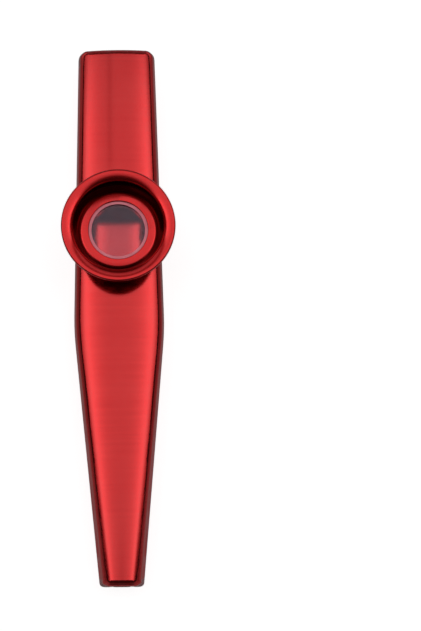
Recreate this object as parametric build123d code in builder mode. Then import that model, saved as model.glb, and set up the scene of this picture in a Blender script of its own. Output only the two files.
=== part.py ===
import os
from math import asin, atan2, cos, degrees, hypot, radians, sin, sqrt, tan

from build123d import *

# Plan of the body, measured at the outside of the rolled edges.
# The mouth end points along +Y, the exit along -Y, and the cup along +Z.
body_length = 120.0
mouth_width = 17.15
shoulder_width = 19.95
exit_width = 9.5
shoulder_from_mouth = 64.0
shoulder_radius = 60.0
mouth_corner_radius = 1.9
exit_corner_radius = 1.6
end_draft_deg = 1.0

# Sheet metal and the seam along both sides
sheet = 0.45
roll_hollow = 0.2
seam_clearance = 0.04

# Front half: heights are measured up from the seam
front_draft_deg = 17.0
front_mouth_rise = 2.9
front_exit_rise = 3.6
front_crown_radius = 40.0
front_edge_radius = 1.4

# Back half: heights are measured down from the seam
back_draft_deg = 9.0
back_crest = 6.2
back_crest_from_mouth = 62.0
back_long_radius = 915.0
back_crown_radius = 22.0
back_edge_radius = 1.4
back_mouth_corner_radius = 2.2
back_exit_corner_radius = 1.7
back_end_inset = 0.1
flange_setback = 0.01

# Openings at both ends, inside the turned-in lips
mouth_slot_width = 12.2
exit_slot_width = 5.2
lip_depth = 0.95
mouth_slot_corner = 1.1
exit_slot_corner = 1.0

# Turret: the collar on its boss. All its radii grow from the collar's bore.
turret_from_mouth = 42.7
collar_bore_radius = 5.8
collar_neck_wall = 0.4
collar_shoulder = 0.75
collar_height = 1.65
swage_lip = 0.55
swage_thickness = 0.4
boss_margin = 0.4
boss_rise = 0.4
boss_edge_radius = 0.25

# Thread between the collar and the cap nut
thread_pitch = 0.6
thread_depth = 0.3
thread_clearance = 0.1
thread_run_in = 0.28
thread_root_share = 0.66
thread_crest_share = 0.2
thread_sink = 0.1

# Membrane
film_thickness = 0.1
film_margin = 0.15
hoop_height = 0.45
hoop_hole_margin = 0.07
hoop_clearance = 0.08

# Cap nut: the ring in the floor of the cup with its threaded skirt
nut_lip = 0.45
nut_floor = 0.5
nut_skirt_wall = 0.65
nut_skirt_gap = 0.15
nut_groove_step = 0.05
nut_flange_width = 0.55
nut_flange_thickness = 0.4
nut_crown_width = 0.62
nut_crown_drop = 0.11
nut_hole_round = 0.15
nut_shoulder_width = 0.45
nut_shoulder_height = 0.4
nut_shoulder_bevel = 0.3
swage_clearance = 0.02

# Cup: its wall starts at the edge of the nut's flange and leans out to a domed rim
rim_overhang = 3.85
rim_dome_radius = 5.2
rim_dome_end_deg = 1.0
rim_turn_hollow = 0.1
rim_turn_deg = 14.0
rim_roll_hollow = 0.1
rim_roll_end_deg = -115.0
cup_depth = 4.85
cup_bend_radius = 0.25

# How far every cut runs past the metal
overrun = 1.0

roll_radius = sheet + roll_hollow
flange_inset = roll_radius + flange_setback
half_length = body_length / 2
shoulder_y = half_length - shoulder_from_mouth
exit_run = body_length - shoulder_from_mouth
mouth_slope = (shoulder_width - mouth_width) / 2 / shoulder_from_mouth
exit_slope = (shoulder_width - exit_width) / 2 / exit_run
mouth_stretch = sqrt(1 + mouth_slope**2)
exit_stretch = sqrt(1 + exit_slope**2)
back_crest_y = half_length - back_crest_from_mouth
turret_y = half_length - turret_from_mouth
front_slope = (front_mouth_rise - front_exit_rise) / body_length
front_crest = max(front_mouth_rise, front_exit_rise)

# Radii of the turret, from the collar's bore outwards
collar_neck_radius = collar_bore_radius + collar_neck_wall
collar_radius = collar_neck_radius + collar_shoulder
swage_radius = collar_neck_radius + swage_lip
boss_radius = collar_radius + boss_margin
film_radius = collar_radius - film_margin
hoop_radius = collar_radius
hoop_hole_radius = collar_bore_radius + hoop_hole_margin
nut_hole_radius = collar_radius - nut_lip
recess_radius = hoop_radius + hoop_clearance
nut_root_radius = collar_radius + thread_depth + thread_clearance
skirt_radius = nut_root_radius + nut_skirt_wall
nut_groove_radius = skirt_radius + nut_groove_step
nut_shoulder_radius = nut_groove_radius + nut_shoulder_width
nut_flange_radius = nut_groove_radius + nut_flange_width
rim_radius = nut_flange_radius + rim_overhang

# The lowest point of the back half is the zero height
seam_z = back_crest


# Height of the front's ridge above the seam, a straight line from end to end
def front_ridge(y):
    return front_exit_rise + front_slope * (y + half_length)


# Depth of the back's ridge below the seam, a shallow arc from end to end
def back_ridge(y):
    return back_crest - back_long_radius + sqrt(back_long_radius**2 - (y - back_crest_y) ** 2)


# The three corners of one side line, moved inwards
def side_points(side_inset, mouth_inset, exit_inset):
    mouth_x = mouth_width / 2 + mouth_slope * mouth_inset - side_inset * mouth_stretch
    exit_x = exit_width / 2 + exit_slope * exit_inset - side_inset * exit_stretch
    shift = side_inset * (exit_stretch - mouth_stretch) / (mouth_slope + exit_slope)
    bend_x = shoulder_width / 2 - side_inset * mouth_stretch - mouth_slope * shift
    return [
        (mouth_x, half_length - mouth_inset),
        (bend_x, shoulder_y + shift),
        (exit_x, exit_inset - half_length),
    ]


# The closed plan of a half, drawn in the open sketch
def plan(side_inset, end_inset, mouth_corner, exit_corner):
    right = side_points(side_inset, end_inset, end_inset)
    left = [(-x, y) for x, y in reversed(right)]
    with BuildLine() as border:
        Polyline(*right, *left, close=True)
    make_face(border.edges())
    fillet(vertices().sort_by(Axis.Y)[-2:], mouth_corner)
    across = vertices().sort_by(Axis.X)
    fillet([across[0], across[-1]], shoulder_radius - side_inset)
    fillet(vertices().sort_by(Axis.Y)[:2], exit_corner)


# The section under a crowned face, with the top of the crown at the sketch's zero
def crown_section(crown_radius, depth):
    half = shoulder_width / 2 + overrun
    sag = crown_radius - sqrt(crown_radius**2 - half**2)
    with BuildLine() as border:
        ThreePointArc((-half, -sag), (0, 0), (half, -sag))
        Polyline((half, -sag), (half, -depth), (-half, -depth), (-half, -sag))
    make_face(border.edges())


# The space under the front's crown, which is straight from end to end
def front_crown(wall):
    mouth_y = half_length + overrun
    lean = sqrt(1 + front_slope**2)
    start = Plane(
        origin=(0, mouth_y, seam_z + front_ridge(mouth_y) - wall),
        x_dir=(1, 0, 0),
        z_dir=(0, -1, -front_slope),
    )
    with BuildPart() as crown:
        with BuildSketch(start):
            crown_section(front_crown_radius - wall, front_crest + 2 * overrun)
        extrude(amount=2 * mouth_y * lean)
    return crown.part


# The space under the back's crown, which follows a shallow arc
def back_crown(wall):
    arc = back_long_radius - wall
    lean = asin((half_length + abs(back_crest_y) + overrun) / arc)
    centre_z = seam_z - back_crest + back_long_radius
    start = Plane(
        origin=(0, back_crest_y + arc * sin(lean), centre_z - arc * cos(lean)),
        x_dir=(1, 0, 0),
        z_dir=(0, cos(lean), sin(lean)),
    )
    with BuildPart() as crown:
        with BuildSketch(start):
            crown_section(back_crown_radius - wall, back_crest + 2 * overrun)
        revolve(
            axis=Axis((0, back_crest_y, centre_z), (-1, 0, 0)),
            revolution_arc=degrees(2 * lean),
        )
    return crown.part


# A solid with sloping sides under a crown, standing on the seam. Up is 1 for the
# front half and -1 for the back half, and wall moves every face inwards.
def tray(
    crown,
    up,
    crest,
    side_inset,
    end_inset,
    foot,
    draft_deg,
    edge_radius,
    mouth_corner,
    exit_corner,
    wall,
):
    draft = radians(draft_deg)
    end_draft = radians(end_draft_deg)
    low = foot if wall == 0 else foot - overrun
    with BuildPart() as core:
        for height in (low, crest + overrun):
            side_lean = (height - foot) * tan(draft) + wall / cos(draft)
            end_lean = (height - foot) * tan(end_draft) + wall / cos(end_draft)
            with BuildSketch(Plane.XY.offset(seam_z + up * height)):
                plan(
                    side_inset + side_lean,
                    end_inset + end_lean,
                    mouth_corner - wall,
                    exit_corner - wall,
                )
        loft(ruled=True)
        add(crown, mode=Mode.INTERSECT)
        crowned = core.faces().sort_by(Axis.Z)[-1 if up > 0 else 0]
        fillet(crowned.outer_wire().edges(), edge_radius - wall)
    return core.part


# An end opening, drawn in a plane across the body with the seam at zero height
def slot(width, top, bottom, corner):
    half = width / 2
    top_sag = front_crown_radius - sqrt(front_crown_radius**2 - half**2)
    bottom_sag = back_crown_radius - sqrt(back_crown_radius**2 - half**2)
    with BuildLine() as border:
        ThreePointArc((-half, top - top_sag), (0, top), (half, top - top_sag))
        Line((half, top - top_sag), (half, bottom_sag - bottom))
        ThreePointArc((half, bottom_sag - bottom), (0, -bottom), (-half, bottom_sag - bottom))
        Line((-half, bottom_sag - bottom), (-half, top - top_sag))
    make_face(border.edges())
    fillet(vertices(), corner)


front_draft = radians(front_draft_deg)
front_foot = roll_radius * sin(front_draft)
front_inset = roll_radius * (1 - cos(front_draft))
back_inset = 2 * roll_radius + seam_clearance


def front_tray(wall):
    return tray(
        front_crown(wall),
        1,
        front_crest,
        front_inset,
        0,
        front_foot,
        front_draft_deg,
        front_edge_radius,
        mouth_corner_radius,
        exit_corner_radius,
        wall,
    )


def back_tray(wall):
    return tray(
        back_crown(wall),
        -1,
        back_crest,
        back_inset,
        back_end_inset,
        0,
        back_draft_deg,
        back_edge_radius,
        back_mouth_corner_radius,
        back_exit_corner_radius,
        wall,
    )


# Cuts for both ends, used on both halves
slot_length = exit_corner_radius + mouth_corner_radius + overrun
with BuildPart() as end_slots:
    with BuildSketch(Plane((0, half_length + overrun, seam_z), (1, 0, 0), (0, -1, 0))):
        slot(
            mouth_slot_width,
            front_ridge(half_length) - lip_depth,
            back_ridge(half_length) - lip_depth,
            mouth_slot_corner,
        )
    extrude(amount=slot_length)
    with BuildSketch(Plane((0, -half_length - overrun, seam_z), (1, 0, 0), (0, -1, 0))):
        slot(
            exit_slot_width,
            front_ridge(-half_length) - lip_depth,
            back_ridge(-half_length) - lip_depth,
            exit_slot_corner,
        )
    extrude(amount=-slot_length)

ridge_z = seam_z + front_ridge(turret_y)
boss_z = ridge_z + boss_rise
boss_foot_z = ridge_z - front_crest / 2
turret_axis = Axis((0, turret_y, 0), (0, 0, 1))
turret_plane = Plane((0, turret_y, 0), (0, 1, 0), (1, 0, 0))

front_outer = front_tray(0)
front_inner = front_tray(sheet)
back_outer = back_tray(0)
back_inner = back_tray(sheet)


# The section of a rolled edge, around the middle of the roll, with outwards to the right
def roll_section():
    turn = 180 + front_draft_deg
    skirt_x = roll_radius * cos(front_draft) - sheet / cos(front_draft)
    with BuildLine() as border:
        outer = CenterArc((0, 0), roll_radius, front_draft_deg, -turn)
        inner = CenterArc((0, 0), roll_hollow, -180, turn)
        Line(outer @ 1, inner @ 0)
        Polyline(inner @ 1, (skirt_x, front_foot), outer @ 0)
    make_face(border.edges())


# The plane across a rolled edge where one of its lengths starts, seen from the mouth
def roll_plane(length):
    along = length % 0
    return Plane(length @ 0, x_dir=(-along.Y, along.X, 0), z_dir=along)


# Front half with the rolled edges
roll_points = side_points(roll_radius, mouth_corner_radius, exit_corner_radius)
with BuildPart() as front_shell:
    add(front_outer)
    with BuildSketch(turret_plane):
        with BuildLine():
            Polyline(
                (0, boss_z),
                (0, boss_foot_z),
                (boss_radius, boss_foot_z),
                (boss_radius, boss_z),
                close=True,
            )
        make_face()
        fillet(vertices().group_by(Axis.X)[-1].sort_by(Axis.Y)[-1], boss_edge_radius)
    revolve(axis=turret_axis)
    add(front_inner, mode=Mode.SUBTRACT)
    with BuildSketch(Plane.XY.offset(boss_z - sheet)):
        with Locations((0, turret_y)):
            Circle(boss_radius - sheet)
    extrude(amount=-front_crest, mode=Mode.SUBTRACT)
    with BuildLine(Plane.XY.offset(seam_z)) as roll_path:
        Polyline(*roll_points)
        fillet(roll_path.vertices().sort_by(Axis.Y)[1], shoulder_radius - roll_radius)
    straight, bend, taper = roll_path.edges().sort_by(Axis.Y, reverse=True)
    with BuildSketch(roll_plane(straight)):
        roll_section()
    extrude(amount=straight.length)
    with BuildSketch(roll_plane(bend)):
        roll_section()
    bend_deg = degrees(bend.length / (shoulder_radius - roll_radius))
    revolve(axis=Axis(bend.arc_center, (0, 0, -1)), revolution_arc=bend_deg)
    with BuildSketch(roll_plane(taper)):
        roll_section()
    extrude(amount=taper.length)
    add(end_slots.part, mode=Mode.SUBTRACT)
    with BuildSketch(Plane.XY.offset(boss_z + overrun)):
        with Locations((0, turret_y)):
            Circle(collar_neck_radius)
    extrude(amount=-front_crest, mode=Mode.SUBTRACT)
    split(bisect_by=Plane.YZ)
    mirror(about=Plane.YZ)

# Back half with the flange that the rolled edges hold
with BuildPart() as back_shell:
    add(back_outer)
    with BuildSketch(Plane.XY.offset(seam_z)):
        plan(flange_inset, flange_inset, mouth_corner_radius, exit_corner_radius)
    extrude(amount=sheet)
    add(back_inner, mode=Mode.SUBTRACT)
    add(end_slots.part, mode=Mode.SUBTRACT)

# Collar, swaged into the boss
seat_z = boss_z + collar_height
under_z = boss_z - sheet
male_height = collar_height - 2 * thread_run_in
male_z = boss_z + thread_run_in
root_half = thread_root_share * thread_pitch / 2
crest_half = thread_crest_share * thread_pitch / 2
with BuildPart() as turret_collar:
    with BuildSketch(turret_plane):
        with BuildLine():
            Polyline(
                (collar_bore_radius, seat_z),
                (collar_bore_radius, under_z - swage_thickness),
                (swage_radius, under_z - swage_thickness),
                (swage_radius, under_z),
                (collar_neck_radius, under_z),
                (collar_neck_radius, boss_z),
                (collar_radius, boss_z),
                (collar_radius, seat_z),
                close=True,
            )
        make_face()
    revolve(axis=turret_axis)
    with BuildLine() as male_line:
        Helix(thread_pitch, male_height, collar_radius, center=(0, turret_y, male_z))
    with BuildSketch(Plane(male_line.line @ 0, x_dir=(1, 0, 0), z_dir=male_line.line % 0)):
        with BuildLine():
            Polyline(
                (-thread_sink, -root_half),
                (thread_depth, -crest_half),
                (thread_depth, crest_half),
                (-thread_sink, root_half),
                close=True,
            )
        make_face()
    sweep(path=male_line.line, is_frenet=True)

# Film and its hoop, on the collar's seat
hoop_z = seat_z + film_thickness
with BuildPart() as membrane_film:
    with BuildSketch(Plane.XY.offset(seat_z)):
        with Locations((0, turret_y)):
            Circle(film_radius)
    extrude(amount=film_thickness)

with BuildPart() as membrane_hoop:
    with BuildSketch(Plane.XY.offset(hoop_z)):
        with Locations((0, turret_y)):
            Circle(hoop_radius)
            Circle(hoop_hole_radius, mode=Mode.SUBTRACT)
    extrude(amount=hoop_height)

# Cap nut with the female thread
floor_z = hoop_z + hoop_height
nut_top_z = floor_z + nut_floor
skirt_z = boss_z + nut_skirt_gap
groove_top_z = nut_top_z - nut_flange_thickness
groove_z = groove_top_z - sheet - 2 * swage_clearance
shoulder_z = groove_z - nut_shoulder_height
with BuildPart() as cap_nut:
    with BuildSketch(turret_plane):
        with BuildLine():
            Polyline(
                (nut_hole_radius, nut_top_z),
                (nut_hole_radius, floor_z),
                (recess_radius, floor_z),
                (recess_radius, seat_z),
                (nut_root_radius, seat_z),
                (nut_root_radius, skirt_z),
                (skirt_radius, skirt_z),
                (skirt_radius, shoulder_z - nut_shoulder_bevel),
                (nut_shoulder_radius, shoulder_z),
                (nut_shoulder_radius, groove_z),
                (nut_groove_radius, groove_z),
                (nut_groove_radius, groove_top_z),
                (nut_flange_radius, groove_top_z),
                (nut_flange_radius, nut_top_z - nut_crown_drop),
            )
            TangentArc(
                (nut_flange_radius - nut_crown_width, nut_top_z),
                (nut_flange_radius, nut_top_z - nut_crown_drop),
                tangent=(1, 0),
            )
            Line(
                (nut_flange_radius - nut_crown_width, nut_top_z),
                (nut_hole_radius, nut_top_z),
            )
        make_face()
        fillet(vertices().group_by(Axis.Y)[-1].sort_by(Axis.X)[0], nut_hole_round)
    revolve(axis=turret_axis)
    female_z = male_z + thread_pitch / 2
    with BuildLine() as female_line:
        Helix(
            thread_pitch,
            seat_z - thread_run_in - female_z,
            nut_root_radius,
            center=(0, turret_y, female_z),
        )
    female_start = Plane(female_line.line @ 0, x_dir=(1, 0, 0), z_dir=female_line.line % 0)
    with BuildSketch(female_start):
        with BuildLine():
            Polyline(
                (thread_sink, -root_half),
                (-thread_depth, -crest_half),
                (-thread_depth, crest_half),
                (thread_sink, root_half),
                close=True,
            )
        make_face()
    sweep(path=female_line.line, is_frenet=True)

# Cup: a floor edge held in the nut's groove, a flared wall and a domed rim with a
# rolled edge
cup_floor_z = groove_z + swage_clearance
cup_top_z = cup_floor_z + sheet
cup_hole_radius = nut_groove_radius + swage_clearance
bend_x = nut_flange_radius
bend_z = cup_top_z + cup_bend_radius
rim_turn_radius = sheet + rim_turn_hollow
rim_roll_radius = sheet + rim_roll_hollow
dome_end = radians(rim_dome_end_deg)
dome_turn = radians(rim_turn_deg)
roll_gap = rim_dome_radius - rim_roll_radius
turn_gap = rim_dome_radius - rim_turn_radius
dome_x = rim_radius - rim_roll_radius - roll_gap * sin(dome_end)
dome_z = nut_top_z + cup_depth - rim_dome_radius
turn_x = dome_x - turn_gap * sin(dome_turn)
turn_z = dome_z + turn_gap * cos(dome_turn)
dome_centre = (dome_x, dome_z)
turn_centre = (turn_x, turn_z)
roll_centre = (rim_radius - rim_roll_radius, dome_z + roll_gap * cos(dome_end))
reach = turn_x - bend_x
climb = turn_z - bend_z
tilt = asin((cup_bend_radius + rim_turn_radius) / hypot(reach, climb))
cup_flare_deg = degrees(atan2(reach, climb) - tilt)
turn_start_deg = 180 - cup_flare_deg
dome_start_deg = 90 + rim_turn_deg
roll_start_deg = 90 - rim_dome_end_deg
turn_sweep = dome_start_deg - turn_start_deg
dome_sweep = roll_start_deg - dome_start_deg
roll_sweep = rim_roll_end_deg - roll_start_deg
with BuildPart() as cup:
    with BuildSketch(turret_plane):
        with BuildLine():
            under = Line((cup_hole_radius, cup_floor_z), (bend_x, cup_floor_z))
            under_bend = CenterArc(
                (bend_x, bend_z), cup_bend_radius + sheet, -90, 90 - cup_flare_deg
            )
            turn_in = CenterArc(turn_centre, rim_turn_hollow, turn_start_deg, turn_sweep)
            CenterArc(dome_centre, rim_dome_radius - sheet, dome_start_deg, dome_sweep)
            roll_in = CenterArc(roll_centre, rim_roll_hollow, roll_start_deg, roll_sweep)
            roll_out = CenterArc(roll_centre, rim_roll_radius, rim_roll_end_deg, -roll_sweep)
            CenterArc(dome_centre, rim_dome_radius, roll_start_deg, -dome_sweep)
            turn_out = CenterArc(turn_centre, rim_turn_radius, dome_start_deg, -turn_sweep)
            bend = CenterArc(
                (bend_x, bend_z), cup_bend_radius, -cup_flare_deg, cup_flare_deg - 90
            )
            Line(under_bend @ 1, turn_in @ 0)
            Line(roll_in @ 1, roll_out @ 0)
            Line(turn_out @ 1, bend @ 0)
            Polyline(bend @ 1, (cup_hole_radius, cup_top_z), under @ 0)
        make_face()
    revolve(axis=turret_axis)

os.makedirs("parts", exist_ok=True)
front_shell.part.label = "front_shell"
export_step(front_shell.part, "parts/front_shell.step")
back_shell.part.label = "back_shell"
export_step(back_shell.part, "parts/back_shell.step")
turret_collar.part.label = "turret_collar"
export_step(turret_collar.part, "parts/turret_collar.step")
membrane_film.part.label = "membrane_film"
export_step(membrane_film.part, "parts/membrane_film.step")
membrane_hoop.part.label = "membrane_hoop"
export_step(membrane_hoop.part, "parts/membrane_hoop.step")
cap_nut.part.label = "cap_nut"
export_step(cap_nut.part, "parts/cap_nut.step")
cup.part.label = "cup"
export_step(cup.part, "parts/cup.step")
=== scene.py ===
import math

import bmesh
import bpy
from mathutils import Euler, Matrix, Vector


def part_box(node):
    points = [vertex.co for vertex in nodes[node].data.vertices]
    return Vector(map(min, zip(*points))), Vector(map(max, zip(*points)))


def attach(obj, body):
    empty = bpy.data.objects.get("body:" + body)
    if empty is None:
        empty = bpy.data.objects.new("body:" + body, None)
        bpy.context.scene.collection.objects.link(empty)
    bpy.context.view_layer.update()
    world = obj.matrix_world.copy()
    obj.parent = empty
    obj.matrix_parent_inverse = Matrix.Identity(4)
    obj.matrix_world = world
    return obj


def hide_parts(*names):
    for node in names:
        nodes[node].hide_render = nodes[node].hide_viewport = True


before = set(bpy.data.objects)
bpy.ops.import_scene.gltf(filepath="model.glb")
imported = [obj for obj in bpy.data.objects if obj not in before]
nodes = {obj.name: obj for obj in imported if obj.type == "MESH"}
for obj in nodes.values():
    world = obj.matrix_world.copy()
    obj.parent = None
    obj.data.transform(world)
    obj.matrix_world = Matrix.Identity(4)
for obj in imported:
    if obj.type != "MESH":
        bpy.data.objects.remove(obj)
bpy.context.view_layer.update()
cupLow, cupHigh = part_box("cup")
turretX = (cupLow.x + cupHigh.x) / 2
turretY = (cupLow.y + cupHigh.y) / 2
seamZ = 0.0062  # the crimped seam between the two halves
print("kazoo frame loaded, turret at", round(turretY * 1000, 2), "mm")


# each input gets a value, or a wire from another node
def setInputs(tree, node, inputs):
    for key, value in inputs.items():
        if isinstance(value, bpy.types.NodeSocket):
            tree.links.new(value, node.inputs[key])
        else:
            node.inputs[key].default_value = value


def addNode(tree, kind, inputs, **settings):
    node = tree.nodes.new(kind)
    for key, value in settings.items():
        setattr(node, key, value)
    setInputs(tree, node, inputs)
    return node


def newMaterial(name):
    material = bpy.data.materials.new(name)
    material.use_nodes = True
    tree = material.node_tree
    place = addNode(tree, "ShaderNodeTexCoord", {}).outputs["Object"]
    return material, tree, tree.nodes["Principled BSDF"], place


# inputs 0, 6 and 7 are the share and the two colours
def mixColour(tree, share, first, second):
    node = addNode(tree, "ShaderNodeMix", {0: share, 6: first, 7: second}, data_type="RGBA")
    return node.outputs[2]


def calc(tree, operation, *values):
    node = addNode(tree, "ShaderNodeMath", dict(enumerate(values)), operation=operation)
    return node.outputs[0]


def noise(tree, place, look, **settings):
    node = addNode(tree, "ShaderNodeTexNoise", {
        "Vector": place, "Scale": look["perMetre"], "Detail": look["detail"],
        "Roughness": look["rough"]}, **settings)
    return node.outputs["Fac"]


def remap(tree, value, span, start, end, kind):
    node = addNode(tree, "ShaderNodeMapRange", {
        "Value": value, "From Min": span[0], "From Max": span[1],
        "To Min": start, "To Max": end}, interpolation_type=kind)
    return node.outputs["Result"]


# goes straight from one level to another
def stretch(tree, value, span, start, end):
    return remap(tree, value, span, start, end, "LINEAR")


# eases from one level to another
def ease(tree, value, span, start, end):
    return remap(tree, value, span, start, end, "SMOOTHSTEP")


def relief(tree, height, depth, strength, under=None):
    inputs = {"Height": height, "Distance": depth, "Strength": strength}
    if under is not None:
        inputs["Normal"] = under
    return addNode(tree, "ShaderNodeBump", inputs).outputs["Normal"]


# pale patches where hands and pockets rub the edges
def wear(tree, place, edges, dye, s):
    rub = noise(tree, place, s["wornPatches"])
    patches = ease(tree, rub, s["wornFrom"], 0.0, s["wornShare"])
    return mixColour(tree, calc(tree, "MULTIPLY", patches, edges), dye, s["worn"])


sheetFinish = {
    "dye": (0.81, 0.014, 0.016, 1),
    "dyeThin": (0.92, 0.034, 0.034, 1),
    "rough": (0.12, 0.18),
    "skin": {"Metallic": 1.0, "Coat Weight": 0.9, "Coat Roughness": 0.09, "Coat IOR": 1.5},
    "grain": {"perMetre": 2300, "detail": 3.0, "rough": 0.6},
    "brush": {"perMetre": 12000, "detail": 1.0, "rough": 0.5},
    "cloud": {"perMetre": 70, "detail": 4.0, "rough": 0.55},
    "grainStretch": 0.03,  # across the body
    "grainDepth": 0.0000036,
    "brushDepth": 0.0000012,
    "reliefShare": 1.0,
    "linesFrom": (0.65, 1.35),  # grain and clouds added up
    "worn": (0.80, 0.36, 0.40, 1),
    "wornPatches": {"perMetre": 700, "detail": 5.0, "rough": 0.65},
    "wornFrom": (0.42, 0.72),
    "wornShare": 0.45,
    "wornEnds": (0.0586, 0.0599),  # distance from the middle
    "wornSeam": (0.0003, 0.0007),  # distance from the seam
}


# anodised sheet: brushed across the body, under a clear oxide skin
def makeSheetRed():
    s = sheetFinish
    material, tree, skin, place = newMaterial("redAnodisedSheet")
    brushed = addNode(tree, "ShaderNodeMapping", {
        "Vector": place, "Scale": (s["grainStretch"], 1, s["grainStretch"])}).outputs["Vector"]
    grain = noise(tree, brushed, s["grain"])
    brush = noise(tree, brushed, s["brush"])
    cloud = noise(tree, place, s["cloud"])
    lines = stretch(tree, calc(tree, "ADD", grain, cloud), s["linesFrom"], 0.0, 1.0)
    dye = mixColour(tree, lines, s["dye"], s["dyeThin"])
    parts = addNode(tree, "ShaderNodeSeparateXYZ", {"Vector": place}).outputs
    fromMiddle = calc(tree, "ABSOLUTE", parts["Y"])
    fromSeam = calc(tree, "ABSOLUTE", calc(tree, "SUBTRACT", parts["Z"], seamZ))
    edges = calc(tree, "MAXIMUM",
                 ease(tree, fromMiddle, s["wornEnds"], 0.0, 1.0),
                 ease(tree, fromSeam, s["wornSeam"], 1.0, 0.0))
    coarse = relief(tree, grain, s["grainDepth"], s["reliefShare"])
    fine = relief(tree, brush, s["brushDepth"], s["reliefShare"], under=coarse)
    setInputs(tree, skin, s["skin"])
    setInputs(tree, skin, {
        "Base Color": wear(tree, place, edges, dye, s),
        "Roughness": stretch(tree, lines, (0.0, 1.0), *s["rough"]),
        "Normal": fine})
    return material


turnedFinish = {
    "dye": (0.88, 0.008, 0.010, 1),
    "dyeThin": (0.98, 0.022, 0.024, 1),
    # painted shade: the next two near-black reds paint the shade on the cup's recessed wall and
    # under its rim
    "deep": (0.15, 0.005, 0.008, 1),
    "paintedShadePale": (0.18, 0.007, 0.010, 1),
    "rough": (0.13, 0.19),
    "skin": {"Metallic": 1.0, "Coat Weight": 0.9, "Coat Roughness": 0.08, "Coat IOR": 1.5},
    # painted shade: a weak coat and a dark reflection tint for the same shaded surfaces
    "paintedShadeSkin": {"Coat Weight": 0.14, "Specular Tint": (0.27, 0.12, 0.12, 1)},
    "rings": {"perMetre": 11000, "detail": 2.0, "rough": 0.6},
    "ringDepth": 0.0000022,
    "ringShare": 1.0,
    "cloud": {"perMetre": 120, "detail": 4.0, "rough": 0.55},
    "worn": (0.82, 0.34, 0.38, 1),
    "wornPatches": {"perMetre": 800, "detail": 5.0, "rough": 0.65},
    "wornFrom": (0.48, 0.74),
    "wornShare": 0.45,
    "wornRim": (0.01205, 0.01240),  # distance from the turret's axis
}


def plainDye(tree, place, radius, cloud):
    s = turnedFinish
    dye = mixColour(tree, cloud, s["dye"], s["dyeThin"])
    return wear(tree, place, ease(tree, radius, s["wornRim"], 0.0, 1.0), dye, s)


# anodised turned work: fine rings around the turret's axis; with deep set, a dark painted shade
# takes the place of the plain dye, and with fade this painted shade gives way to the plain dye over
# those heights
def makeTurnedRed(name, deep=False, fade=None):
    s = turnedFinish
    material, tree, skin, place = newMaterial(name)
    centred = addNode(tree, "ShaderNodeMapping", {
        "Vector": place, "Location": (-turretX, -turretY, 0)}).outputs["Vector"]
    parts = addNode(tree, "ShaderNodeSeparateXYZ", {"Vector": centred}).outputs
    flat = addNode(tree, "ShaderNodeCombineXYZ", {"X": parts["X"], "Y": parts["Y"]})
    radius = addNode(tree, "ShaderNodeVectorMath", {
        0: flat.outputs["Vector"]}, operation="LENGTH").outputs["Value"]
    section = addNode(tree, "ShaderNodeCombineXYZ", {"X": radius, "Y": parts["Z"]})
    rings = noise(tree, section.outputs["Vector"], s["rings"], noise_dimensions="2D")
    cloud = noise(tree, place, s["cloud"])
    setInputs(tree, skin, s["skin"])
    # painted shade: dark colour and dark reflection tint in place of the plain dye
    if deep:
        setInputs(tree, skin, s["paintedShadeSkin"])
        dye = mixColour(tree, cloud, s["deep"], s["paintedShadePale"])
    else:
        dye = plainDye(tree, place, radius, cloud)
    if fade:
        plain = plainDye(tree, place, radius, cloud)
        dye = mixColour(tree, stretch(tree, parts["Z"], fade, 0.0, 1.0), dye, plain)
    setInputs(tree, skin, {
        "Base Color": dye,
        "Roughness": stretch(tree, rings, (0.0, 1.0), *s["rough"]),
        "Normal": relief(tree, rings, s["ringDepth"], s["ringShare"])})
    return material


hoopFinish = {
    "pale": (1.0, 0.34, 0.40, 1),
    "deep": (0.94, 0.22, 0.28, 1),
    "rough": (0.28, 0.42),
    "skin": {"Metallic": 1.0, "IOR": 1.49, "Coat Weight": 0.5, "Coat Roughness": 0.1},
    "cloud": {"perMetre": 900, "detail": 3.0, "rough": 0.5},
}


# pearly plastic that picks up the red around it
def makeHoopPlastic():
    s = hoopFinish
    material, tree, skin, place = newMaterial("pearlyHoop")
    cloud = noise(tree, place, s["cloud"])
    setInputs(tree, skin, s["skin"])
    setInputs(tree, skin, {
        "Base Color": mixColour(tree, cloud, s["pale"], s["deep"]),
        "Roughness": stretch(tree, cloud, (0.0, 1.0), *s["rough"])})
    return material


filmFinish = {
    "clear": (0.94, 0.91, 0.95, 1),
    "haze": (0.87, 0.83, 0.89, 1),
    "rough": (0.03, 0.08),
    "skin": {"IOR": 1.58, "Transmission Weight": 1.0, "Specular Tint": (1.0, 0.80, 0.95, 1)},
    "wrinkles": {"perMetre": 260, "detail": 2.0, "rough": 0.5},
    "wrinkleDepth": 0.00004,
    "wrinkleShare": 0.15,
}


# thin clear film, a little hazy and not quite flat
def makeFilm():
    s = filmFinish
    material, tree, skin, place = newMaterial("membraneFilm")
    wrinkles = noise(tree, place, s["wrinkles"])
    setInputs(tree, skin, s["skin"])
    setInputs(tree, skin, {
        "Base Color": mixColour(tree, wrinkles, s["clear"], s["haze"]),
        "Roughness": stretch(tree, wrinkles, (0.0, 1.0), *s["rough"]),
        "Normal": relief(tree, wrinkles, s["wrinkleDepth"], s["wrinkleShare"])})
    return material


def dress(node, material):
    for slot in nodes[node].material_slots:
        slot.link = "DATA"
        slot.material = material


sheetRed = makeSheetRed()
turnedRed = makeTurnedRed("redAnodisedTurned")
dress("turret_collar", turnedRed)
dress("membrane_hoop", makeHoopPlastic())
dress("membrane_film", makeFilm())
print("finishes on the turret")


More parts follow.
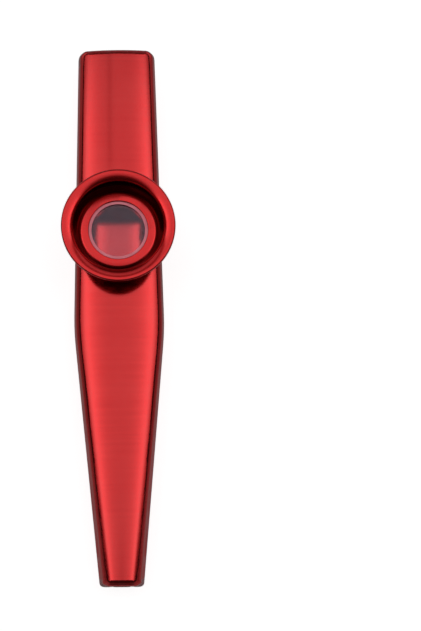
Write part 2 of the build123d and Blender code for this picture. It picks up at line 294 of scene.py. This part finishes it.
# turns a finished bmesh into a piece of the kazoo
def addPiece(name, bm, sharpFrom, *materials):
    mesh = bpy.data.meshes.new(name)
    bm.to_mesh(mesh)
    bm.free()
    if "custom_normal" in mesh.attributes:
        mesh.attributes.remove(mesh.attributes["custom_normal"])
    mesh.shade_smooth()
    mesh.set_sharp_from_angle(angle=sharpFrom)
    mesh.materials.clear()
    for material in materials:
        mesh.materials.append(material)
    piece = bpy.data.objects.new(name, mesh)
    bpy.context.scene.collection.objects.link(piece)
    return piece


cupShape = {
    "sheet": 0.00045,
    "holeRadius": 0.00807,
    "footRadius": 0.0086,
    "footBend": 0.00005,
    "turnHollow": 0.00002,  # where the wall turns into the rim
    "turnLean": 15.0,
    "domeRadius": 0.0079,
    "domeLean": 4.5,
    "bandRadius": 0.0035,  # the band along the rim's edge
    "bandLean": (3.5, -4.0),
    "cornerRound": 0.00032,
    "cornerDrop": 0.00030,
    "rollHollow": 0.00005,
    "rollEnd": -115.0,
    "footSteps": 4,
    "turnSteps": 10,
    "domeSteps": 8,
    "bandSteps": 6,
    "cornerSteps": 8,
    "rollSteps": 14,
    "hollowSteps": 8,
    "outsideSteps": 6,
    "around": 192,
    "weld": 0.0000005,
    "sharpFrom": math.radians(24),
    # height over which the painted shade on the cup's inner wall fades into the plain dye
    "paintedShadeFade": 0.0003,
    # faces under the rim that look down past this get painted shade
    "underside": -0.6,  # faces that look down more than this
}


# a point on a circle in the section; angles count from outwards, and grow upwards
def onCircle(middle, radius, degrees):
    angle = math.radians(degrees)
    return middle[0] + radius * math.cos(angle), middle[1] + radius * math.sin(angle)


def lineTo(bm, tip, place):
    tip = bmesh.ops.extrude_vert_indiv(bm, verts=[tip])["verts"][0]
    tip.co = (turretX + place[0], turretY, place[1])
    return tip


def arcTo(bm, tip, middle, start, end, steps):
    made = bmesh.ops.spin(
        bm, geom=[tip], cent=(turretX + middle[0], turretY, middle[1]), axis=(0, 1, 0),
        angle=math.radians(start - end), steps=steps)["geom_last"]
    return [item for item in made if isinstance(item, bmesh.types.BMVert)][0]


# the flared cup: a leaning wall, a slightly domed rim with a flatter band, a rolled edge
def makeCup():
    s = cupShape
    sheet, rollEnd = s["sheet"], s["rollEnd"]
    rimRadius = cupHigh.x - turretX
    floorTop = cupLow.z + sheet
    rollRadius = sheet + s["rollHollow"]
    turnRadius = sheet + s["turnHollow"]
    domeStart, domeEnd = 90 + s["turnLean"], 90 + s["domeLean"]
    bandStart, bandEnd = (90 + lean for lean in s["bandLean"])

    # middles of the arcs, as distance from the axis and height
    domeZ = cupHigh.z - s["domeRadius"]
    domeEdge = onCircle((0, domeZ), s["domeRadius"], domeEnd)
    bandEdge = onCircle((0, 0), s["bandRadius"], bandStart)
    toCorner = onCircle((0, 0), s["bandRadius"] - s["cornerRound"], bandEnd)
    band = rimRadius - s["cornerRound"] - toCorner[0], domeEdge[1] - bandEdge[1]
    corner = band[0] + toCorner[0], band[1] + toCorner[1]
    roll = rimRadius - rollRadius, corner[1] - s["cornerDrop"]
    dome = band[0] + bandEdge[0] - domeEdge[0], domeZ
    turn = onCircle(dome, s["domeRadius"] - turnRadius, domeStart)
    foot = s["footRadius"], floorTop + s["footBend"]
    reach, climb = turn[0] - foot[0], turn[1] - foot[1]
    lost = math.asin((s["footBend"] + turnRadius) / math.hypot(reach, climb))
    flare = math.degrees(math.atan2(reach, climb) - lost)
    wallTop = onCircle(turn, turnRadius, 180 - flare)

    bm = bmesh.new()
    first = bm.verts.new((turretX + s["holeRadius"], turretY, floorTop))
    tip = lineTo(bm, first, (foot[0], floorTop))
    tip = arcTo(bm, tip, foot, -90, -flare, s["footSteps"])
    tip = lineTo(bm, tip, wallTop)
    tip = arcTo(bm, tip, turn, 180 - flare, domeStart, s["turnSteps"])
    tip = arcTo(bm, tip, dome, domeStart, domeEnd, s["domeSteps"])
    tip = arcTo(bm, tip, band, bandStart, bandEnd, s["bandSteps"])
    tip = arcTo(bm, tip, corner, bandEnd, 0, s["cornerSteps"])
    tip = lineTo(bm, tip, (rimRadius, roll[1]))
    tip = arcTo(bm, tip, roll, 0, rollEnd, s["rollSteps"])
    tip = lineTo(bm, tip, onCircle(roll, s["rollHollow"], rollEnd))  # back along the underside
    tip = arcTo(bm, tip, roll, rollEnd, 0, s["hollowSteps"])
    tip = lineTo(bm, tip, onCircle(dome, s["domeRadius"] - sheet, domeEnd))
    tip = arcTo(bm, tip, dome, domeEnd, domeStart, s["domeSteps"])
    tip = arcTo(bm, tip, turn, domeStart, 180 - flare, s["outsideSteps"])
    tip = lineTo(bm, tip, onCircle(foot, s["footBend"] + sheet, -flare))
    tip = arcTo(bm, tip, foot, -flare, -90, s["outsideSteps"])
    tip = lineTo(bm, tip, (s["holeRadius"], cupLow.z))
    bm.edges.new((tip, first))
    bmesh.ops.spin(
        bm, geom=bm.verts[:] + bm.edges[:], cent=(turretX, turretY, 0), axis=(0, 0, 1),
        angle=math.tau, steps=s["around"], use_merge=True)
    bmesh.ops.remove_doubles(bm, verts=bm.verts, dist=s["weld"])
    bmesh.ops.recalc_face_normals(bm, faces=bm.faces)

    # painted shade: the inner wall low in the cup and the faces under the rim get near-black red in
    # place of shade
    recessPaintedShade = makeTurnedRed("redAnodisedRecessPaintedShade", True, (wallTop[1] - s["paintedShadeFade"], turn[1]))
    undersidePaintedShade = makeTurnedRed("redAnodisedUndersidePaintedShade", True)
    cup = addPiece("cupBowl", bm, s["sharpFrom"], turnedRed, recessPaintedShade, undersidePaintedShade)
    # inward faces of the wall take the recess painted shade, downward faces of the rim the
    # underside painted shade
    for face in cup.data.polygons:
        outward = face.center - Vector((turretX, turretY, face.center.z))
        inFacing = outward.dot(face.normal) < 0
        if inFacing and outward.length < turn[0] and face.center.z > floorTop:
            face.material_index = 1
        elif face.normal.z < s["underside"] and outward.length > wallTop[0]:
            face.material_index = 2
    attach(cup, "cap")
    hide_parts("cup")
    print("cup with flare of", round(flare, 1), "degrees,", len(cup.data.polygons), "faces")


ringShape = {
    "hole": 0.0065,
    "slope": math.tan(math.radians(4)),
    "top": 0.00025,
    "weld": 0.000002,
    "sharpFrom": math.radians(30),
}


# the ring in the cup: the solid's own mesh, its face turned to a shallow cone
def makeRing():
    s = ringShape
    bm = bmesh.new()
    bm.from_mesh(nodes["cap_nut"].data)
    bmesh.ops.remove_doubles(bm, verts=bm.verts, dist=s["weld"])
    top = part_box("cap_nut")[1].z
    for vert in bm.verts:
        out = math.hypot(vert.co.x - turretX, vert.co.y - turretY) - s["hole"]
        if vert.co.z > top - s["top"] and out > 0:
            vert.co.z -= s["slope"] * out
    ring = addPiece("capRing", bm, s["sharpFrom"], turnedRed)
    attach(ring, "cap")
    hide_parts("cap_nut")
    print("ring", len(ring.data.polygons), "faces")


crownShape = {
    "halfLength": 0.060,
    "mouthHalf": 0.008575,  # half widths of the plan
    "shoulderHalf": 0.009975,
    "exitHalf": 0.00475,
    "shoulderY": -0.004,
    "shoulderRound": 0.00345,
    "taperSoft": 0.08,
    "edgeRadius": 0.0014,
    "edgeGuess": 0.001,  # the edge's middle is found in a few rounds
    "edgeRounds": 8,
    "probe": 0.00001,
    "stepAlong": 0.002,
    "stepAcross": 0.0008,
    "weld": 0.000002,
    "cutWeld": 0.0000005,
    "sliver": 0.00003,
    "onCrown": 0.000004,  # how near a point lies to count as on it
    "onSkin": 0.00007,
    "bendLow": 0.0004,
    "bendHigh": 0.0016,
    "endClear": 0.0034,
    "turretClear": 0.0078,
    "cornerX": 0.00329,  # where the exit's corners start
    "cornerY": -0.0584,
    "cornerPower": 3.2,
    "slotHalf": 0.0021,
    "lipY": -0.0599,
    "sharpFrom": math.radians(44),
}

frontShape = {
    "up": 1,
    "mouthRise": 0.0029,  # height of the crown over the seam
    "exitRise": 0.0036,
    "wide": 0.040,  # crown radius at the shoulder, the exit and the mouth
    "narrow": 0.0110,
    "mouth": 0.033,
    "draft": math.radians(17),
    "foot": 0.00019,
    "inset": 0.0000284,
}

backShape = {
    "up": -1,
    "crestY": -0.002,
    "long": 0.915,  # radius of the arc from end to end
    "wide": 0.022,
    "narrow": 0.010,
    "mouth": 0.019,
    "draft": math.radians(9),
    "foot": 0.0,
    "inset": 0.00134,
}


# the crown tightens as the body narrows from the shoulder to either end
def crownRadius(y, half):
    s = crownShape
    toExit = (s["shoulderY"] - y) / (s["shoulderY"] + s["halfLength"])
    toMouth = (y - s["shoulderY"]) / (s["halfLength"] - s["shoulderY"])
    softExit = (toExit + math.hypot(toExit, s["taperSoft"])) / 2
    softMouth = (toMouth + math.hypot(toMouth, s["taperSoft"])) / 2
    return (half["wide"] + (half["narrow"] - half["wide"]) * softExit
            + (half["mouth"] - half["wide"]) * softMouth)


# height of the crown: the front is straight from end to end, the back a shallow arc
def crownHeight(x, y, radius, half):
    s = crownShape
    fall = radius - math.sqrt(radius * radius - x * x)
    if half["up"] > 0:
        slope = (half["mouthRise"] - half["exitRise"]) / (2 * s["halfLength"])
        return seamZ + half["exitRise"] + slope * (y + s["halfLength"]) - fall
    return half["long"] - math.sqrt((half["long"] - fall) ** 2 - (y - half["crestY"]) ** 2)


# half width of the plan, moved inwards
def sideLine(y, inset):
    s = crownShape
    toMouth, toExit = s["halfLength"] - y, s["halfLength"] + y
    mouthSlope = (s["shoulderHalf"] - s["mouthHalf"]) / (s["halfLength"] - s["shoulderY"])
    exitSlope = (s["shoulderHalf"] - s["exitHalf"]) / (s["shoulderY"] + s["halfLength"])
    mouthSide = s["mouthHalf"] + mouthSlope * toMouth - inset * math.hypot(1, mouthSlope)
    exitSide = s["exitHalf"] + exitSlope * toExit - inset * math.hypot(1, exitSlope)
    near = max(s["shoulderRound"] - abs(y - s["shoulderY"]), 0)
    rounded = (mouthSlope + exitSlope) * near * near / (4 * s["shoulderRound"])
    return min(mouthSide, exitSide) - rounded


# direction of the outer skin at a point, or nothing where the point isn't on it
def skinNormal(place, half):
    s = crownShape
    x, y, z = abs(place.x), place.y, place.z
    up, edge, draft = half["up"], s["edgeRadius"], half["draft"]
    nothing = Vector((0, 0, 0))
    atEnd = abs(y) > s["halfLength"] - s["endClear"]
    if math.hypot(place.x - turretX, y - turretY) < s["turretClear"] and up > 0:
        return nothing
    radius, side = crownRadius(y, half), sideLine(y, half["inset"])
    before, after = y - s["probe"], y + s["probe"]
    lean = (sideLine(after, half["inset"]) - sideLine(before, half["inset"])) / (after - before)
    footZ = seamZ + up * half["foot"]
    edgeX = side - edge - s["edgeGuess"]
    for _ in range(s["edgeRounds"]):
        edgeZ = crownHeight(edgeX, y, radius - edge, half) - up * edge
        edgeX = side - up * (edgeZ - footZ) * math.tan(draft) - edge / math.cos(draft)
    over, high = x - edgeX, up * (z - edgeZ)
    angle = math.atan2(over, high)
    crownEnd, sideStart = math.asin(edgeX / (radius - edge)), math.pi / 2 - draft
    if angle < crownEnd or over < 0:
        allowed = s["onCrown"] if atEnd else s["onSkin"]
        if abs(z - crownHeight(x, y, radius, half)) > allowed:
            return nothing
        slopeX = x / math.sqrt(radius * radius - x * x)
        slopeY = (crownHeight(x, after, crownRadius(after, half), half)
                  - crownHeight(x, before, crownRadius(before, half), half)) / (after - before)
        normal = Vector((slopeX, -up * slopeY, up))
    elif atEnd:
        return nothing
    elif angle < sideStart:
        if abs(math.hypot(over, high) - edge) > s["onSkin"]:
            return nothing
        normal = Vector((math.sin(angle), -lean * math.sin(angle), up * math.cos(angle)))
    else:
        rise = up * (z - footZ)
        if abs(x - side + rise * math.tan(draft)) > s["onSkin"] or rise < s["bendLow"]:
            return nothing
        normal = Vector((math.cos(draft), -lean * math.cos(draft), up * math.sin(draft)))
    normal.x = math.copysign(normal.x, place.x)
    return normal.normalized()


def easeBetween(value, low, high):
    t = min(max((value - low) / (high - low), 0), 1)
    return t * t * (3 - 2 * t)


# the corners of the exit are tighter than the solid's round ones
def squareCorner(place):
    s = crownShape
    outX, outY = abs(place.x) - s["cornerX"], s["cornerY"] - place.y
    if outX <= 0 or outY <= 0:
        return
    far, power = math.hypot(outX, outY), s["cornerPower"]
    grow = ((outX / far) ** power + (outY / far) ** power) ** (-1 / power)
    place.x = math.copysign(s["cornerX"] + outX * grow, place.x)
    place.y = s["cornerY"] - outY * grow


# between the corners the lips reach nearly as far out as the corners do
def reachEnd(place):
    s = crownShape
    past = s["cornerY"] - place.y
    if past <= 0:
        return
    share = 1 - easeBetween(abs(place.x), s["slotHalf"], s["cornerX"])
    grow = (s["halfLength"] + s["cornerY"]) / (s["cornerY"] - s["lipY"]) - 1
    place.y = max(place.y - past * share * grow, -s["halfLength"])


def cutFaces(bm, faces, place, normal):
    edges = list(dict.fromkeys(edge for face in faces for edge in face.edges))
    verts = list(dict.fromkeys(vert for face in faces for vert in face.verts))
    bmesh.ops.bisect_plane(
        bm, geom=verts + edges + faces, dist=crownShape["cutWeld"], plane_co=place, plane_no=normal)


# a stamped half: the solid's own mesh, cut finer and laid on the tapering crown
def makeShell(name, node, half):
    s = crownShape
    up, wide = half["up"], half["wide"]
    bm = bmesh.new()
    bm.from_mesh(nodes[node].data)
    bmesh.ops.remove_doubles(bm, verts=bm.verts, dist=s["weld"])
    bmesh.ops.dissolve_degenerate(bm, dist=s["weld"], edges=bm.edges)
    crownFace = bm.faces.layers.int.new("crownFace")
    for face in bm.faces:
        off = max(abs(v.co.z - crownHeight(v.co.x, v.co.y, wide, half)) for v in face.verts)
        face[crownFace] = int(off < s["onCrown"])
    low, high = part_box(node)
    for i in range(1, int((high.y - low.y) / s["stepAlong"])):
        cutFaces(bm, bm.faces[:], (0, low.y + i * s["stepAlong"], 0), (0, 1, 0))
    reach = int(high.x / s["stepAcross"])
    for i in range(-reach, reach + 1):
        crown = [face for face in bm.faces if face[crownFace]]
        cutFaces(bm, crown, (i * s["stepAcross"], 0, 0), (1, 0, 0))
    bmesh.ops.remove_doubles(bm, verts=bm.verts, dist=s["sliver"])
    for vert in bm.verts:
        x, y, z = vert.co
        flat = crownHeight(x, y, wide, half)
        crowned = crownHeight(x, y, crownRadius(y, half), half)
        if any(face[crownFace] for face in vert.link_faces):
            vert.co.z = crowned
        else:
            share = easeBetween(up * (z - seamZ), s["bendLow"], s["bendHigh"])
            vert.co.z = z + (crowned - flat) * share
        squareCorner(vert.co)
        reachEnd(vert.co)
    bm.faces.layers.int.remove(crownFace)
    shell = addPiece(name, bm, s["sharpFrom"], sheetRed)
    skin = [skinNormal(vert.co, half) for vert in shell.data.vertices]
    shell.data.normals_split_custom_set_from_vertices(skin)
    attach(shell, "body")
    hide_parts(node)
    held = sum(1 for normal in skin if normal.length > 0)
    print(name, len(shell.data.polygons), "faces,", held, "points on the skin")


makeCup()
makeRing()
makeShell("frontShell", "front_shell", frontShape)
makeShell("backShell", "back_shell", backShape)


floorLook = {
    "size": 6.0,
    "pale": (0.82, 0.82, 0.82, 1),
    "glow": 0.88,  # to the camera
    "mirrored": 0.05,  # in the metal and the film
}


def makeFloor():
    s = floorLook
    bpy.ops.mesh.primitive_plane_add(size=s["size"], location=(0, 0, 0))
    floor = bpy.context.object
    floor.name = "paleFloor"
    material = bpy.data.materials.new("paleFloor")
    material.use_nodes = True
    tree = material.node_tree
    tree.nodes.clear()
    rays = addNode(tree, "ShaderNodeLightPath", {}).outputs
    mirrored = calc(tree, "MAXIMUM", rays["Is Glossy Ray"], rays["Is Transmission Ray"])
    seen = calc(tree, "MULTIPLY", rays["Is Camera Ray"], s["glow"])
    glow = calc(tree, "MULTIPLY_ADD", mirrored, s["mirrored"], seen)
    shine = addNode(tree, "ShaderNodeEmission", {"Color": (1, 1, 1, 1), "Strength": glow})
    matt = addNode(tree, "ShaderNodeBsdfDiffuse", {"Color": s["pale"]})
    total = addNode(tree, "ShaderNodeAddShader", {0: matt.outputs[0], 1: shine.outputs[0]})
    addNode(tree, "ShaderNodeOutputMaterial", {"Surface": total.outputs[0]})
    floor.data.materials.append(material)


# places in the tent are how far across or along it, for each metre of height
tentLook = {
    "middle": 0.66,
    "edge": 1.46,
    "curve": 4.0,
    "edgeAt": 0.42,
    "end": (0.42, 0.52),
    "near": (-0.14, 0.05),
    "far": (0.355, 0.42),
    "farShare": 0.12,
    "foldLeft": (-0.15, -0.11),  # a dim fold, seen as a streak on the mouth part
    "foldRight": (-0.09, -0.05),
    "foldStart": (0.20, 0.27),
    "foldDim": 0.26,
    "patchAlong": (0.045, 0.10),  # a dimmer patch, seen as a line near the exit
    "patchAcross": (0.0, 0.2),
    "patchDim": 0.22,
    "panel": 0.46,  # a dimmer panel behind the tent
    "panelStart": (0.44, 0.54),
    "panelEnd": (0.58, 0.80),
    "leastHeight": 0.001,
}

roomLook = {
    "gap": 0.03,  # levels of the gap, the walls and the corner boxes
    "sides": 0.12,
    "boxes": 0.42,
    "boxWidth": (0.5, 0.9),
    "boxTop": (0.50, 0.70),
    "nearSide": (-0.5, -0.1),  # the room is darker towards the exit
    "nearShare": 0.35,
    "leastWidth": 0.001,
}


# a pale tent above the kazoo, brightest along its two long edges, a dark gap around
# it, and four dim boxes low in the corners of the room
def makeSky():
    s, room = tentLook, roomLook
    world = bpy.data.worlds.new("studioSky")
    bpy.context.scene.world = world
    world.use_nodes = True
    tree = world.node_tree
    tree.nodes.clear()

    def times(first, *others):
        for other in others:
            first = calc(tree, "MULTIPLY", first, other)
        return first

    way = addNode(tree, "ShaderNodeTexCoord", {}).outputs["Generated"]
    parts = addNode(tree, "ShaderNodeSeparateXYZ", {"Vector": way}).outputs
    x, y = parts["X"], parts["Y"]
    tall = calc(tree, "ABSOLUTE", parts["Z"])
    height = calc(tree, "MAXIMUM", tall, s["leastHeight"])
    sideways = calc(tree, "DIVIDE", x, height)
    across = calc(tree, "ABSOLUTE", sideways)
    along = calc(tree, "DIVIDE", y, height)

    toEdge = calc(tree, "MINIMUM", calc(tree, "DIVIDE", across, s["edgeAt"]), 1.0)
    rise = calc(tree, "POWER", toEdge, s["curve"])
    tent = calc(tree, "MULTIPLY_ADD", rise, s["edge"] - s["middle"], s["middle"])
    inTent = ease(tree, across, s["end"], 1.0, 0.0)
    fold = times(ease(tree, sideways, s["foldLeft"], 0.0, 1.0),
                 ease(tree, sideways, s["foldRight"], 1.0, 0.0),
                 ease(tree, along, s["foldStart"], 0.0, s["foldDim"]))
    patch = times(ease(tree, across, s["patchAcross"], 1.0, 0.0),
                  ease(tree, along, s["patchAlong"], s["patchDim"], 0.0))
    tent = times(tent, inTent,
                 ease(tree, along, s["near"], 0.0, 1.0),
                 ease(tree, along, s["far"], 1.0, s["farShare"]),
                 calc(tree, "SUBTRACT", 1.0, fold),
                 calc(tree, "SUBTRACT", 1.0, patch))
    panel = times(ease(tree, along, s["panelStart"], 0.0, s["panel"]), inTent)
    tent = times(calc(tree, "MAXIMUM", tent, panel), ease(tree, along, s["panelEnd"], 1.0, 0.0))

    flat = calc(tree, "ADD", times(x, x), times(y, y))
    width = calc(tree, "MAXIMUM", flat, room["leastWidth"])
    corner = calc(tree, "DIVIDE", times(calc(tree, "ABSOLUTE", times(x, y)), 2.0), width)
    boxes = ease(tree, corner, room["boxWidth"], room["sides"], room["boxes"])
    low = times(ease(tree, tall, room["boxTop"], 1.0, 0.0),
                ease(tree, y, room["nearSide"], room["nearShare"], 1.0))
    low = calc(tree, "MULTIPLY_ADD", boxes, low, room["gap"])
    level = calc(tree, "MAXIMUM", tent, low)
    sky = addNode(tree, "ShaderNodeBackground", {"Color": (1, 1, 1, 1), "Strength": level})
    addNode(tree, "ShaderNodeOutputWorld", {"Surface": sky.outputs[0]})


makeFloor()
makeSky()
print("floor and sky")


photo = {
    "width": 421,
    "height": 631,
    "focalPixels": 1811.5,
    "sensor": 36,
    "clip": (0.01, 20),
    "distance": 0.400,
    "tilt": math.radians(10.49),
    "roll": math.radians(-0.59),
    "aim": Vector((0, 0, seamZ)),
    "offsetX": -91.4,  # pixels from the middle of the frame
    "offsetY": -3.01,
}


# the photo looks down on the front, from a little towards the narrow end
def makeCamera():
    s = photo
    lens = bpy.data.cameras.new("photoCamera")
    camera = bpy.data.objects.new("photoCamera", lens)
    bpy.context.scene.collection.objects.link(camera)
    bpy.context.scene.camera = camera
    tall = max(s["width"], s["height"])
    lens.sensor_width = s["sensor"]
    lens.lens = s["focalPixels"] * s["sensor"] / tall
    lens.shift_x = -s["offsetX"] / tall
    lens.shift_y = s["offsetY"] / tall
    lens.clip_start, lens.clip_end = s["clip"]
    turn = Euler((s["tilt"], 0, 0)).to_matrix() @ Euler((0, 0, s["roll"])).to_matrix()
    camera.rotation_euler = turn.to_euler()
    camera.location = s["aim"] + turn @ Vector((0, 0, s["distance"]))


makeCamera()
bpy.context.scene.view_settings.view_transform = "Standard"
print("camera in place")
